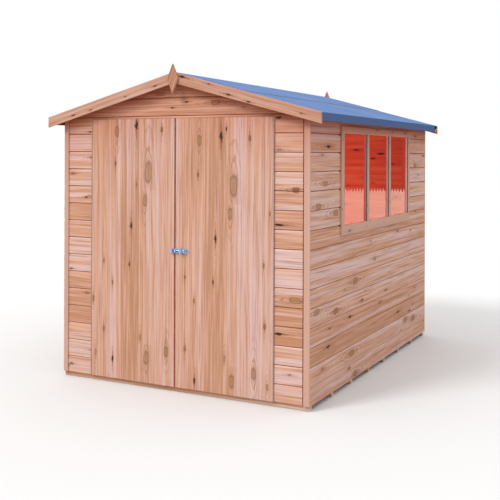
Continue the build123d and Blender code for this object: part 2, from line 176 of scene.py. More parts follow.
    # The eye of a live knot is paler in the middle than at its rim, and a dead one is black with a brown rim.
    live_to_dead = [(0.2, linear(knot)), (0.55, linear(resin)), (0.9, linear(pith))]
    core = add("ValToRGB", (dark,), live_to_dead)
    rim = add("MapRange SMOOTHSTEP", {"Value": edge, "From Min": 0.55, "From Max": 0.95})
    bark = [0.55 * a + 0.45 * b for a, b in zip(linear(knot), linear(pith))]
    rimmed = add("Mix RGBA", {0: rim, 6: core, 7: bark})
    shape = add("MapRange SMOOTHSTEP", {"Value": edge, "From Min": 1.15, "From Max": 0.8})
    rim_depth = add("Math MULTIPLY_ADD", (rim, 0.35, 0.45))
    depth = add("Math MULTIPLY_ADD", (dark, 0.5, rim_depth), use_clamp=True)
    eye = add("Math MULTIPLY", (shape, depth))
    finish = add("Mix RGBA", {0: eye, 6: body, 7: rimmed})
    if eaves_shade:
        # Painted shade under the roof: the wood is darkened towards a dark red, most of it close below the
        # felt, a third as much a hand lower, and none an arm lower.
        ridge, fall = eaves_shade
        place = add("SeparateXYZ", (add("TexCoord").outputs["Object"],))
        out = add("Math ABSOLUTE", (place.outputs[0],))
        climb = add("Math MULTIPLY_ADD", (out, fall, place.outputs[2]))
        below = add("Math SUBTRACT", (ridge, climb))
        eaves_shade_shares = ((0.075, 0.74), (0.12, 0.34), (0.22, 0.2), (0.45, 0))
        kept = add("ValToRGB", (below,), [(drop, (share, share, share, 1)) for drop, share in eaves_shade_shares])
        finish = add("Mix RGBA", {0: kept, 6: finish, 7: linear("ed9a6f")}, blend_type="MULTIPLY")
    grip = add("MapRange", {"Value": ring, "To Min": roughness - 0.08, "To Max": roughness + 0.08})
    relief = add("Bump", {"Height": ring, "Strength": 0.25, "Distance": 0.001})
    skin = add("BsdfPrincipled",
               {"Base Color": finish, "Roughness": grip, "Normal": relief, "Specular IOR Level": 0.25})
    add("OutputMaterial", (skin,))
    return material


board_count = 0
# The grain of a board starts anywhere in this many metres of pattern.
grain_run = 40
# Wood with no knot near it reads a small pale one that is metres away.
no_knot_way, no_knot = (9, 9), (0.005, 0)


def new_maps(mesh):
    """The maps of the wood, new on a mesh."""
    return [mesh.loops.layers.uv.new(name) for name in wood_maps]


def put(name, data):
    """A new object in the scene."""
    thing = bpy.data.objects.new(name, data)
    bpy.context.collection.objects.link(thing)
    return thing


def make_piece(mesh, name, body, slot, materials, *nodes):
    """Makes a mesh a piece of its own that rides on a body, in place of any CAD nodes that are given."""
    data = bpy.data.meshes.new(name)
    mesh.to_mesh(data)
    mesh.free()
    for material in materials:
        data.materials.append(material)
    piece = put(name, data)
    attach(piece, body)
    if nodes:
        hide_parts(*nodes)
    return piece


def cut_timber(node, body, slot, material, seed, marks=(), spacing=0.7, arris=0.0015, tones=()):
    """Sawn pieces in place of a CAD node: the same solids with eased edges, each with grain along its length.
    The knots are the marks that lie in a piece, as point, half width and darkness, or else a few by chance,
    and the tones are how pale each piece is and how much of it is sapwood."""
    global board_count
    chance = random.Random(seed)
    mesh = bmesh.new()
    mesh.from_mesh(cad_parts[node].data)
    bmesh.ops.remove_doubles(mesh, verts=mesh.verts, dist=1e-5)
    bmesh.ops.dissolve_limit(mesh, angle_limit=0.01, verts=mesh.verts, edges=mesh.edges)
    bmesh.ops.bevel(mesh, geom=mesh.edges, offset=arris, segments=1, affect="EDGES")
    for layer in list(mesh.loops.layers.uv.values()):
        mesh.loops.layers.uv.remove(layer)
    maps = new_maps(mesh)
    waiting = set(mesh.faces)
    timbers = []
    slack, off_centre = 0.01, 0.012
    for first in mesh.faces:
        if first not in waiting:
            continue
        waiting.discard(first)
        group = [first]
        for face in group:
            for edge in face.edges:
                for other in edge.link_faces:
                    if other in waiting:
                        waiting.discard(other)
                        group.append(other)
        timbers.append(group)
    for index, group in enumerate(timbers):
        longest = max((e for f in group for e in f.edges), key=lambda e: e.calc_length())
        way = (longest.verts[1].co - longest.verts[0].co).normalized()
        corners = list(dict.fromkeys(v for f in group for v in f.verts))
        low, high = ([pick(v.co[i] for v in corners) for i in range(3)] for pick in (min, max))
        ends = [pick(v.co.dot(way) for v in corners) for pick in (min, max)]
        hearts = [(Vector(p), half, dark) for p, half, dark in marks
                  if all(a - slack <= c <= b + slack for a, c, b in zip(low, p, high))]
        middle = (Vector(low) + Vector(high)) / 2
        place = ends[0] + chance.uniform(0.1, 1) * spacing
        while not marks and place < ends[1]:
            aside = Vector([chance.uniform(-off_centre, off_centre) for _ in range(3)])
            hearts.append((middle + way * (place - middle.dot(way)) + aside, chance.uniform(0.003, 0.006),
                           chance.random() ** 2))
            place += chance.uniform(0.6, 1.6) * spacing
        hearts.sort(key=lambda heart: heart[0].dot(way))
        geometry = corners + list(dict.fromkeys(e for f in group for e in f.edges)) + group
        for first, second in zip(hearts, hearts[1:]):
            geometry = bmesh.ops.bisect_plane(mesh, geom=geometry, plane_co=(first[0] + second[0]) / 2,
                                              plane_no=way, dist=1e-6)["geom"]
        start = chance.uniform(0, grain_run)
        tone = tones[index % len(tones)] if tones else (chance.uniform(-1, 1), chance.random())
        board_count += 1
        for face in geometry:
            if not isinstance(face, bmesh.types.BMFace):
                continue
            cross = face.normal.cross(way)
            if cross.length < 0.5:
                cross = way.orthogonal()
            cross.normalize()
            heart = None
            if hearts:
                here = face.calc_center_median().dot(way)
                heart = min(hearts, key=lambda heart: abs(heart[0].dot(way) - here))
            for loop in face.loops:
                point = loop.vert.co
                loop[maps[0]].uv = (point.dot(way) + start, (point - middle).dot(cross) + 0.5 + board_count)
                if heart:
                    loop[maps[1]].uv = (point - heart[0]).dot(way), (point - heart[0]).dot(cross)
                    loop[maps[2]].uv = heart[1:]
                else:
                    loop[maps[1]].uv, loop[maps[2]].uv = no_knot_way, no_knot
                loop[maps[3]].uv = tone
    return make_piece(mesh, node + "_timber", body, slot, [material], node)


sawn_softwood = softwood("sawn_softwood", "eacab4", "e8c0a6", "deac8e", "cc9674", "b4805c", "a07048",
                         "8c5830", "3c2616", 0.82)
cut_timber("floor_bearers", "shed", "bearer_wood", sawn_softwood, 3, spacing=2)

# Floor deck: planed softwood boards, tongued together and nailed down to the bearers.
# They run along the shed, inside the cladding.


def knot_reach(knot):
    """Half the length of a knot, from its place along and across, half width and darkness."""
    return knot[2] * (knot_length - brown_loss * knot[3] * (1 - knot[3]))


# Knots just beyond the end of a board still bend its grain, and no stretch or rip of a board is thinner than
# the sliver.
beyond, sliver = 0.3, 0.004


def lay_board(mesh, maps, section, start, finish, place, number, knots, tone, inside=None):
    """One board: a section of (across, depth) points run from start to finish. place turns along, across and
    depth into a point of the shed. Each stretch of the board takes the nearest of its knots. The back has the
    second material, and the edges that lie deeper than inside the third, which is a painted shade."""
    hearts = sorted(k for k in knots if start - beyond < k[0] < finish + beyond)
    stops, owners = [start], []
    heart = hearts[0] if hearts else None
    for other in hearts[1:]:
        share = knot_reach(heart) / (knot_reach(heart) + knot_reach(other))
        stop = heart[0] + (other[0] - heart[0]) * share
        if stop > finish - sliver:
            break
        if stop > stops[-1] + sliver:
            stops.append(stop)
            owners.append(heart)
        heart = other
    stops.append(finish)
    owners.append(heart)
    offset = random.Random(number).uniform(0, grain_run)
    rings = [[mesh.verts.new(place(s, a, d)) for a, d in section] for s in stops]

    def mark(face, heart, points):
        for loop, (s, v) in zip(face.loops, points):
            loop[maps[0]].uv = (s + offset, v + 0.4 + number)
            loop[maps[1]].uv = (s - heart[0], v - heart[1]) if heart else no_knot_way
            loop[maps[2]].uv = heart[2:4] if heart else no_knot
            loop[maps[3]].uv = tone

    count, back = len(section), max(d for a, d in section)
    for near, away, s0, s1, heart in zip(rings, rings[1:], stops, stops[1:], owners):
        for i in range(count):
            j = (i + 1) % count
            (a0, d0), (a1, d1) = section[i], section[j]
            turned = abs(a1 - a0) < abs(d1 - d0)
            v0, v1 = (a0 + d0, a0 + d1) if turned else (a0, a1)
            face = mesh.faces.new((near[i], near[j], away[j], away[i]))
            mark(face, heart, [(s0, v0), (s0, v1), (s1, v1), (s1, v0)])
            if inside is not None and d0 + d1 > 2 * inside:
                face.material_index = 1 if d0 == d1 == back else 2
    for ring, s, heart in ((rings[0], start, owners[0]), (rings[-1], finish, owners[-1])):
        mark(mesh.faces.new(ring), heart, [(s + d, a) for a, d in section])


def scatter_knots(chance, start, finish, width, spacing):
    """Knots along a board, a hand apart or more: place along and across it, half width and darkness."""
    knots, place = [], start + chance.uniform(0, spacing)
    while place < finish:
        dark = chance.random() ** 1.5
        across, half = chance.uniform(0.1, 0.9) * width, chance.uniform(0.003, 0.014 - 0.008 * dark)
        knots.append((place, across, half, dark))
        place += chance.uniform(0.4, 1.6) * spacing
    return knots


deck_low, deck_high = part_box("floor_deck")
deck_boards = 14
deck_width = (deck_high[0] - deck_low[0]) / deck_boards
deck_depth = deck_high[2] - deck_low[2]
deck_joint = 0.0003
deck_section = [(deck_joint, 0), (deck_width - deck_joint, 0), (deck_width - deck_joint, deck_depth),
                (deck_joint, deck_depth)]
chance = random.Random(11)
mesh = bmesh.new()
maps = new_maps(mesh)
for row in range(deck_boards):
    left = deck_low[0] + row * deck_width
    board_count += 1
    lay_board(mesh, maps, deck_section, deck_low[1], deck_high[1],
              lambda s, a, d: (left + a, s, deck_high[2] - d), board_count,
              scatter_knots(chance, deck_low[1], deck_high[1], deck_width, 0.5),
              (chance.uniform(-1, 1), chance.random()))
bmesh.ops.recalc_face_normals(mesh, faces=mesh.faces)
deck_softwood = softwood("planed_softwood_deck", "e0bca0", "dcb494", "c8946c", "b07c56", "94623e", "8a5c38",
                         "7c4a28", "3a2012", 0.7)
make_piece(mesh, "deck_boards", "shed", "board_sheet", [deck_softwood], "floor_deck")

# Wall frames: studs, rails and gable rafters of sawn softwood, nailed up flat and stood on the deck.
# Every face inside is brushed with a red preservative, which shows through the panes and the open doors.
# Rough sawn redwood: quite matt, with close streaks that darken the red.
inner_redwood = softwood("rough_sawn_redwood", "de6440", "dc5e38", "d64a26", "c43e1e", "a83014", "782a12",
                         "782a12", "3c1408", 0.85)
for seed, node in enumerate(("front_frame", "back_frame", "left_frame", "right_frame")):
    cut_timber(node, "shed", "frame_wood", inner_redwood, 20 + seed)

# Cladding: shiplap boards of planed redwood, each with a scooped top edge that the next one laps over.
# Every course runs level round the shed and is nailed to the studs; the inner faces are left rough sawn.
# Planed redwood: a pink tan with a low sheen, pale sapwood streaks, and tan or black knots.


def mottled(name, dark, light, size, roughness):
    """A plain finish that clouds from one colour to another over patches of the given size in metres."""
    material, add = blank_material(name)
    here = add("TexCoord")
    cloud = add("TexNoise", {"Vector": here.outputs["Object"], "Scale": 1 / size, "Detail": 3})
    tint = add("ValToRGB", (cloud,), [(0.35, linear(dark)), (0.65, linear(light))])
    grip = add("MapRange", {"Value": cloud, "To Min": roughness - 0.1, "To Max": roughness + 0.1})
    skin = add("BsdfPrincipled", {"Base Color": tint, "Roughness": grip})
    add("OutputMaterial", (skin,))
    return material


# Painted shade for the hollows under the laps and the closing edges of the door boards: dark red brown,
# blotched in patches a few centimetres wide.
edge_shade_paint = mottled("painted_lap_and_seam_shade", "8a4a30", "a25c3e", 0.03, 0.8)
cover = 0.1132
lap = 0.008
board_depth = 0.012
tongue_face, rebate_face, eased = 0.007, 0.0067, 0.0006
foot = 0.030
first_lap = 0.0255
tongue_gap = 0.0015
scoop = [(0.0155, 0), (0.0115, 0.0005), (0.008, 0.0017), (0.0045, 0.0038), (0.0018, 0.0058), (0, tongue_face)]
shiplap = [(0, eased), (eased, 0)]
shiplap += [(cover - up, depth) for up, depth in scoop]
shiplap += [(cover + lap - tongue_gap, tongue_face), (cover + lap - tongue_gap, board_depth)]
shiplap += [(lap, board_depth), (lap, rebate_face), (0, rebate_face)]


def trimmed(section, low, high):
    """A board's section ripped down to a part of its width."""
    for limit, keep in ((low, 1), (high, -1)):
        kept = []
        for (a0, d0), (a1, d1) in zip(section, section[1:] + section[:1]):
            in0, in1 = keep * (a0 - limit) >= 0, keep * (a1 - limit) >= 0
            if in0:
                kept.append((a0, d0))
            if in0 != in1:
                share = (limit - a0) / (a1 - a0)
                kept.append((limit, d0 + share * (d1 - d0)))
        section = kept
    return section


def trim_to_slope(mesh, top):
    """Cuts the boards along both slopes of the roof, which meet at the height top."""
    for way in (-1, 1):
        normal = Vector((way * roof_fall, 0, 1)).normalized()
        cut = bmesh.ops.bisect_plane(mesh, geom=mesh.verts[:] + mesh.edges[:] + mesh.faces[:],
                                     plane_co=(0, 0, top), plane_no=normal, clear_outer=True, dist=1e-6)
        rim = [e for e in cut["geom_cut"] if isinstance(e, bmesh.types.BMEdge) and e.is_boundary]
        bmesh.ops.holes_fill(mesh, edges=rim)


sheet_low, sheet_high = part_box("roof_sheet_right")
sheet_thickness, roof_pitch, under_sheet = 0.011, math.radians(15), 0.0004
sheet_rise = sheet_thickness / math.cos(roof_pitch)
roof_fall = (sheet_high[2] - sheet_low[2] - sheet_rise) / sheet_high[0]
sheet_underside = sheet_high[2] - sheet_rise - under_sheet
# The roof's height at the ridge and its fall: wood close under it takes painted shade.
roof_line = (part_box("roof_felt_right")[1][2], roof_fall)
outer_redwood = softwood("planed_redwood_shiplap", "e9c5be", "e9bfa9", "dfa78a", "ca906e", "b27854", "a87c54",
                         "96582c", "2a160a", 0.62, 1.25, roof_line)
wall_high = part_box("back_wall")[1]
front_low, front_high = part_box("front_wall_left")
door_line = -front_high[0]
lintel = front_high[2]
front_y, back_y = front_low[1], wall_high[1]
side_x = -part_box("left_wall")[0][0]
courses = range(math.ceil((wall_high[2] - first_lap) / cover))
# The knots that stand out, by course: place along the wall and up the board, half width, and darkness.
front_knots = {0: [(-0.83, 0.059, 0.007, 0.6)], 1: [(0.765, 0.06, 0.005, 0.3)],
               3: [(0.695, 0.066, 0.009, 1)], 4: [(-0.705, 0.086, 0.009, 0.4)],
               5: [(0.8, 0.042, 0.018, 0.25)], 6: [(-0.835, 0.013, 0.005, 0.9)],
               9: [(0.695, 0.025, 0.009, 1)], 10: [(-0.71, 0.038, 0.007, 0.8), (0.8, 0.113, 0.011, 0.6)],
               11: [(-0.825, 0.079, 0.008, 0.5), (0.8, 0.007, 0.012, 0.6)], 14: [(0.69, 0.088, 0.008, 0.9)],
               15: [(0.06, 0.082, 0.006, 0.8), (0.265, 0.073, 0.015, 0.3), (0.46, 0.042, 0.004, 0.5)]}
right_knots = {0: [(-0.45, 0.03, 0.018, 0.3)],
               1: [(-0.515, 0.062, 0.02, 0.2), (0.66, 0.077, 0.02, 0.2), (0.865, 0.056, 0.022, 0.3)],
               2: [(-0.92, 0.07, 0.011, 1), (0.475, 0.055, 0.01, 1), (0.77, 0.017, 0.009, 0.9)],
               3: [(-0.545, 0.077, 0.01, 0.9), (0.06, 0.077, 0.012, 0.3), (0.915, 0.065, 0.007, 0.6)],
               4: [(-1.1, 0.08, 0.016, 0.15), (-0.795, 0.039, 0.018, 0.4), (-0.32, 0.035, 0.01, 0.6),
                   (-0.125, 0.111, 0.006, 0.9), (0.185, 0.034, 0.009, 0.6)],
               5: [(-0.45, 0.067, 0.02, 0.3)], 7: [(0.46, 0.097, 0.006, 0.9)],
               8: [(0.925, 0.104, 0.006, 0.7)], 9: [(-0.8, 0.08, 0.018, 0.25)],
               10: [(-1.075, 0.019, 0.016, 0.2)], 11: [(-0.975, 0.039, 0.014, 0.02)],
               12: [(0.88, 0.017, 0.018, 0.4), (1.15, 0.093, 0.007, 1)], 13: [(-0.925, 0.033, 0.011, 1)],
               14: [(0.915, 0.022, 0.008, 0.8)]}
back_knots = {12: [(0.45, 0.068, 0.007, 1), (0.52, 0.108, 0.009, 1), (0.59, 0.05, 0.007, 1)],
              13: [(0.3, 0.028, 0.009, 1)]}
# Courses that stand out in tone: how pale the board is, and how much of it is sapwood.
front_tones = {1: (0.2, 0.9), 2: (0.2, 0.75), 3: (-0.9, 0), 4: (-0.4, 0.2), 7: (0.2, 0.9), 9: (-0.5, 0.1),
               11: (0.2, 0.7), 12: (0.2, 0.75), 13: (0, 0.6), 15: (-0.1, 0.1), 16: (-0.2, 0)}
right_tones = {0: (0, 0.8), 1: (0.4, 0.6), 2: (-0.7, 0.2), 3: (-0.3, 0.5), 5: (0.1, 0.7), 6: (0.2, 0.9),
               8: (-0.4, 0.3), 10: (0.4, 0.5), 11: (0.2, 0.9)}
# Deeper than this, the edges of a board take the painted shade.
edge_shade_depth = 0.004


def clad(name, place, near, far, gap, knots, tones, spacing, seed, nodes):
    """A wall of shiplap from near to far, with an opening of gap's bounds: near, far, bottom and top. place
    turns along, height and depth into a point of the shed."""
    global board_count
    chance = random.Random(seed)
    mesh = bmesh.new()
    maps = new_maps(mesh)
    for course in courses:
        level = first_lap + course * cover
        board_count += 1
        hearts = scatter_knots(chance, near, far, cover, spacing) + knots.get(course, [])
        tone = tones.get(course, (chance.uniform(-0.3, 0.3), chance.uniform(0.3, 0.7)))
        low = (gap[2] - level) if gap else cover + lap
        high = (gap[3] - level) if gap else cover + lap
        if low >= cover or high <= 0:
            stretches = [(near, far, 0, cover + lap)]
        else:
            stretches = [(near, gap[0], 0, cover + lap), (gap[1], far, 0, cover + lap)]
            if low > sliver:
                stretches.append((gap[0], gap[1], 0, low))
            if high < cover - sliver:
                stretches.append((gap[0], gap[1], max(high, 0), cover + lap))
        for start, finish, bottom, top in stretches:
            lay_board(mesh, maps, trimmed(shiplap, max(bottom, foot - level), top), start, finish,
                      lambda s, a, d: place(s, level + a, d), board_count, hearts, tone, edge_shade_depth)
    bmesh.ops.recalc_face_normals(mesh, faces=mesh.faces)
    trim_to_slope(mesh, sheet_underside)
    return make_piece(mesh, name, "shed", "shiplap", [outer_redwood, inner_redwood, edge_shade_paint], *nodes)


# The front boards stop short of the strip at the right, and the one over the doors hangs a little low.
strip_edge = min(abs(v.co.x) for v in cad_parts["corner_trims"].data.vertices)
strip_gap, lintel_drop, below_ground = 0.008, 0.0035, -1
doorway = (-door_line, door_line, below_ground, lintel - lintel_drop)
light_low, light_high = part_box("right_wall_front")
window_gap = (light_high[1], -light_high[1], light_low[2], light_high[2])
corner = side_x - board_depth
clad("front_shiplap", lambda s, z, d: (s, front_y + d, z), -corner, strip_edge - strip_gap, doorway,
     front_knots, front_tones, spacing=1.6, seed=31,
     nodes=("front_wall_left", "front_wall_right", "front_gable_wall"))
clad("back_shiplap", lambda s, z, d: (s, back_y - d, z), -corner, corner, None, back_knots, right_tones,
     spacing=0.45, seed=32, nodes=("back_wall",))
clad("left_shiplap", lambda s, z, d: (-side_x + d, s, z), front_y, back_y, None, {}, front_tones,
     spacing=0.45, seed=33, nodes=("left_wall",))
clad("right_shiplap", lambda s, z, d: (side_x - d, s, z), front_y, back_y, window_gap, right_knots,
     right_tones, spacing=1.2, seed=34,
     nodes=("right_wall_lower", "right_wall_front", "right_wall_rear", "right_wall_head"))

# Corner strips and window trim: planed redwood laths nailed over the board ends and round the opening.
# The mullions are the same lath, let in between the head and the sill.
# Planed redwood cut clear of knots: even pink tan, with little streak.
trim_redwood = softwood("clear_planed_redwood", "deb6a4", "dcb29e", "d7a892", "d09e86", "c69078", "a87c58",
                        "96582c", "40220f", 0.6, 0.25, roof_line)
# Knots so many metres apart miss every piece.
knot_free = 30
corner_strips = cut_timber("corner_trims", "shed", "trim_wood", trim_redwood, 41, spacing=knot_free)
# The front strips are planed to half their thickness, and the left one is ripped narrower at the corner.
strip_planed, strip_ripped, at_corner = 0.007, 0.009, 0.01
for vert in corner_strips.data.vertices:
    if vert.co.y < front_y and vert.co.x < -side_x + at_corner:
        vert.co.x += strip_ripped
    if vert.co.y < front_y - strip_planed:
        vert.co.y += strip_planed
trim_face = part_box("window_mullions")[1][0]
head_knots = [((trim_face, -0.048, 1.653), 0.006, 0.8), ((trim_face, 0.292, 1.647), 0.005, 0.8),
              ((trim_face, 0.605, 1.646), 0.007, 0.8)]
sill_knots = [((trim_face, -0.588, 0.998), 0.01, 0.4)]
window_trim = (("window_head", head_knots), ("window_sill", sill_knots), ("window_jambs", ()),
               ("window_mullions", ()))
for seed, (node, knots) in enumerate(window_trim):
    cut_timber(node, "shed", "trim_wood", trim_redwood, 42 + seed, knots, knot_free)

# Window panes: clear sheets of horticultural glass bedded behind the trim.
# Each is one flat sheet, held by the mullions and the jambs.


def dress(material, *nodes):
    """Puts a material on CAD nodes that stay as they are."""
    for node in nodes:
        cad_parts[node].data.materials.clear()
        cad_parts[node].data.materials.append(material)


# Plain float glass: a hard even gloss that shows more of the surroundings at a low angle.
clear_glass, add = blank_material("clear_float_glass")
pane = add("BsdfPrincipled",
           {"Base Color": linear("fafcfc"), "Roughness": 0, "IOR": 1.5, "Transmission Weight": 1})
clear = add("BsdfTransparent", {"Color": linear("f4f6f6")})
path = add("LightPath")
lets_light = add("Math MAXIMUM", (path.outputs["Is Shadow Ray"], path.outputs["Is Diffuse Ray"]))
both = add("MixShader", (lets_light, pane, clear))
add("OutputMaterial", (both,))
dress(clear_glass, "window_panes")

# Glazing beads: primed beads pinned on the panes outside against the upright trim, with a line of dark
# mastic run along them, and thin primed laths that back the glass behind each mullion.
glass_low, glass_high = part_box("window_panes")


def bead_strip(mesh, x0, x1, y0, y1, z0, z1, arris):
    """A strip with eased edges."""
    corners = [mesh.verts.new((x, y, z)) for x in (x0, x1) for y in (y0, y1) for z in (z0, z1)]
    sides = ((0, 1, 3, 2), (4, 6, 7, 5), (0, 4, 5, 1), (2, 3, 7, 6), (0, 2, 6, 4), (1, 5, 7, 3))
    faces = [mesh.faces.new([corners[i] for i in side]) for side in sides]
    edges = list(dict.fromkeys(e for f in faces for e in f.edges))
    bmesh.ops.bevel(mesh, geom=edges, offset=arris, segments=2, affect="EDGES")


hand = 0.1


def bars_between(node):
    """The stretch in y of each upright bar of a node, where bars are a hand apart or more."""
    spans = []
    for vert in sorted(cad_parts[node].data.vertices, key=lambda v: v.co.y):
        if spans and vert.co.y - spans[-1][1] < hand:
            spans[-1][1] = vert.co.y
        else:
            spans.append([vert.co.y, vert.co.y])
    return spans


uprights = bars_between("window_mullions") + bars_between("window_jambs")
sill_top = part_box("window_sill")[1][2]
head_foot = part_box("window_head")[0][2]
mastic_mesh = bmesh.new()
bead_mesh = bmesh.new()
lath_mesh = bmesh.new()
bead_depth, bead_width, mastic_width, bead_arris = 0.006, 0.007, 0.003, 0.0008
lath_depth, lath_inset, lath_arris = 0.0085, 0.006, 0.001
hair, bedding, end_gap = 0.0002, 0.0003, 0.0005
bead_face = glass_high[0] + bead_depth
upright = (sill_top + end_gap, head_foot - end_gap)
for near, far in uprights:
    for edge, side in ((near, -1), (far, 1)):
        if abs(edge + side * mastic_width) < glass_high[1]:
            beaded = sorted((edge + side * hair, edge + side * bead_width))
            bead_strip(bead_mesh, glass_high[0] + bedding, bead_face, *beaded, *upright, bead_arris)
            filled = sorted((edge + side * hair, edge + side * mastic_width))
            bead_strip(mastic_mesh, bead_face + hair, trim_face - end_gap, *filled, *upright, bead_arris)
    if max(abs(near), abs(far)) < glass_high[1] - hand:
        bead_strip(lath_mesh, glass_low[0] - lath_depth, glass_low[0] - bedding, near + lath_inset,
                   far - lath_inset, glass_low[2], glass_high[2], lath_arris)
# Linseed mastic gone dark with weather, in patches a few centimetres long, and grey primer brushed on wood.
mastic = mottled("weathered_mastic", "5c4440", "745650", 0.03, 0.6)
primer = mottled("grey_primer", "b69a9c", "c6acac", 0.05, 0.7)
make_piece(mastic_mesh, "mastic_lines", "shed", "trim_wood", [mastic])
make_piece(bead_mesh, "glazing_beads", "shed", "trim_wood", [primer])
make_piece(lath_mesh, "glazing_laths", "shed", "trim_wood", [primer])

# Nails: round wire nails that hold the window trim, driven flush with their heads left bare.
# The heads have rusted, so each is a dark spot on the lath.


def turn_up(mesh, profile, place, way, steps=10):
    """Turns a profile of (radius, height) points round a line through place along way."""
    across = way.orthogonal().normalized()
    other = way.cross(across)
    rings = []
    for radius, height in profile:
        turns = [0] if radius == 0 else [2 * math.pi * i / steps for i in range(steps)]
        spokes = [across * math.cos(t) + other * math.sin(t) for t in turns]
        rings.append([mesh.verts.new(place + way * height + radius * spoke) for spoke in spokes])
    for low, high in zip(rings, rings[1:]):
        for i in range(steps):
            pairs = ((low, i), (low, i + 1), (high, i + 1), (high, i))
            mesh.faces.new(list(dict.fromkeys(ring[step % len(ring)] for ring, step in pairs)))


nail_mesh = bmesh.new()
outward = Vector((1, 0, 0))
nail_head = [(0, -0.0002), (0.005, -0.0002), (0.005, 0.0003), (0.004, 0.0008), (0, 0.0009)]
nail_inset, sill_nail_drop = 0.007, 0.03
foot_nail, head_nail = sill_top + 0.105, head_foot - 0.045
nail_spots = [(along, sill_top - sill_nail_drop) for along in (-0.26, 0.1)]
nail_spots += [(near + nail_inset, high) for near, far in uprights for high in (foot_nail, head_nail)]
for along, high in nail_spots:
    turn_up(nail_mesh, nail_head, Vector((trim_face, along, high)), outward)
bmesh.ops.recalc_face_normals(nail_mesh, faces=nail_mesh.faces)
rusted_wire = mottled("rusted_wire_nail", "3a2420", "573830", 0.004, 0.7)
make_piece(nail_mesh, "trim_nails", "shed", "trim_wood", [rusted_wire])
# Painted shadow: where the laps run out against the front edge of the trim, a nearly black strip fills the
# hollow that is left under it.
stop_low, stop_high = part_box("window_jambs")
hollow_shadow_depth, hollow_shadow_swell, hollow_shadow_width, hollow_shadow_arris = 0.006, 0.0012, 0.015, 0.002
hollow_shadow_below, hollow_shadow_above, past_trim = 0.012, 0.004, 0.05
hollow_shadow_mesh = bmesh.new()
for course in courses:
    lap_line = first_lap + course * cover
    if stop_low[2] - past_trim < lap_line < stop_high[2] + past_trim:
        bead_strip(hollow_shadow_mesh, side_x - hollow_shadow_depth, side_x + hollow_shadow_swell, stop_low[1] - hollow_shadow_width, stop_low[1],
                   lap_line - hollow_shadow_below, lap_line + hollow_shadow_above, hollow_shadow_arris)
# The painted shadow in the lap hollows: a brown that is nearly black, and dull.
hollow_shadow_paint = mottled("hollow_shadow_paint", "46261e", "5a342a", 0.01, 0.8)
make_piece(hollow_shadow_mesh, "lap_hollow_shadows", "shed", "trim_wood", [hollow_shadow_paint])

# Roof battens, truss and sheets: sawn softwood laths and a truss under sheets of pressed strand board.
# The truss is brushed red with the rest of the inside, and the battens were soaked in brown preservative.
# Soaked softwood: a dark red brown that hides most of the grain.
soaked_softwood = softwood("preservative_soaked_softwood", "9c5a40", "96523a", "8a4830", "7a3c26", "64301c",
                           "4a2414", "4a2414", "2a120a", 0.8)
for seed, node in enumerate(("roof_battens_left", "roof_battens_right")):
    battens = cut_timber(node, "shed", "frame_wood", soaked_softwood, 50 + seed)
    # The outer faces under the felt were never soaked.
    battens.data.materials.append(sawn_softwood)
    outermost = sheet_high[0] - 0.001
    for face in battens.data.polygons:
        if abs(face.normal.x) > 0.99 and abs(face.center.x) > outermost:
            face.material_index = 1
cut_timber("roof_truss", "shed", "frame_wood", inner_redwood, 52)
strand_board, add = blank_material("pressed_strand_board")
# Strands of wood about 30 mm long lie every way in the sheet, each a red tan of its own.
here = add("TexCoord")
strand = add("TexVoronoi", {"Vector": here.outputs["Object"], "Scale": 35})
speck = add("SeparateXYZ", (strand.outputs["Color"],))
tint = add("ValToRGB", (speck.outputs[0],), [(0, linear("9c4a28")), (1, linear("b86640"))])
sheet = add("BsdfPrincipled", {"Base Color": tint, "Roughness": 0.8})
add("OutputMaterial", (sheet,))
dress(strand_board, "roof_sheet_left", "roof_sheet_right")

# Roof felt: bitumen felt with a blue mineral face, one sheet to each slope and a strip over the ridge.
# It is rolled out along the shed, turned down over the eaves and nailed.
mineral_felt, add = blank_material("blue_mineral_felt")
# Slate grit gives a dull grey blue with no gloss. Grit of about 1 mm is too fine to show, so it is drawn 4 mm
# wide.
here = add("TexCoord")
grit = add("TexNoise", {"Vector": here.outputs["Object"], "Scale": 250, "Detail": 2})
cloud = add("TexNoise", {"Vector": here.outputs["Object"], "Scale": 3, "Detail": 3})
mixed = add("Math ADD", (grit, cloud))
mean = add("Math MULTIPLY", (mixed, 0.5))
tint = add("ValToRGB", (mean,), [(0.35, linear("5874a6")), (0.65, linear("6884b4"))])
# Painted shade: the felt is darker where it faces sideways, over the turned-down edges.
facing = add("SeparateXYZ", (here.outputs["Normal"],))
turned = add("MapRange", {"Value": facing.outputs[2], "From Min": 0.7, "From Max": 0.3})
felt_with_edge_shade = add("Mix RGBA", {0: turned, 6: tint, 7: linear("546a96")})
relief = add("Bump", {"Height": grit, "Strength": 0.3, "Distance": 0.001})
felt = add("BsdfPrincipled",
           {"Base Color": felt_with_edge_shade, "Roughness": 0.9, "Normal": relief, "Specular IOR Level": 0.2})
add("OutputMaterial", (felt,))
dress(mineral_felt, "roof_felt_left", "roof_felt_ridge")
# On the window side the turned-down edge is cut short at the back, where the end of the eaves batten shows.
felt_low, felt_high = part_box("roof_felt_right")
felt_cut, felt_lift, cut_width = felt_high[1] - 0.068, 0.044, 0.0005
felt_mesh = bmesh.new()
felt_mesh.from_mesh(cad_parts["roof_felt_right"].data)
for y in (felt_cut, felt_cut + cut_width):
    bmesh.ops.bisect_plane(felt_mesh, geom=felt_mesh.verts[:] + felt_mesh.edges[:] + felt_mesh.faces[:],
                           plane_co=(0, y, 0), plane_no=(0, 1, 0), dist=1e-6)
for vert in felt_mesh.verts:
    if vert.co.y > felt_cut + cut_width / 2 and vert.co.z < felt_low[2] + 0.001:
        vert.co.z = felt_low[2] + felt_lift
make_piece(felt_mesh, "cut_felt_right", "shed", "roof_felt", [mineral_felt], "roof_felt_right")
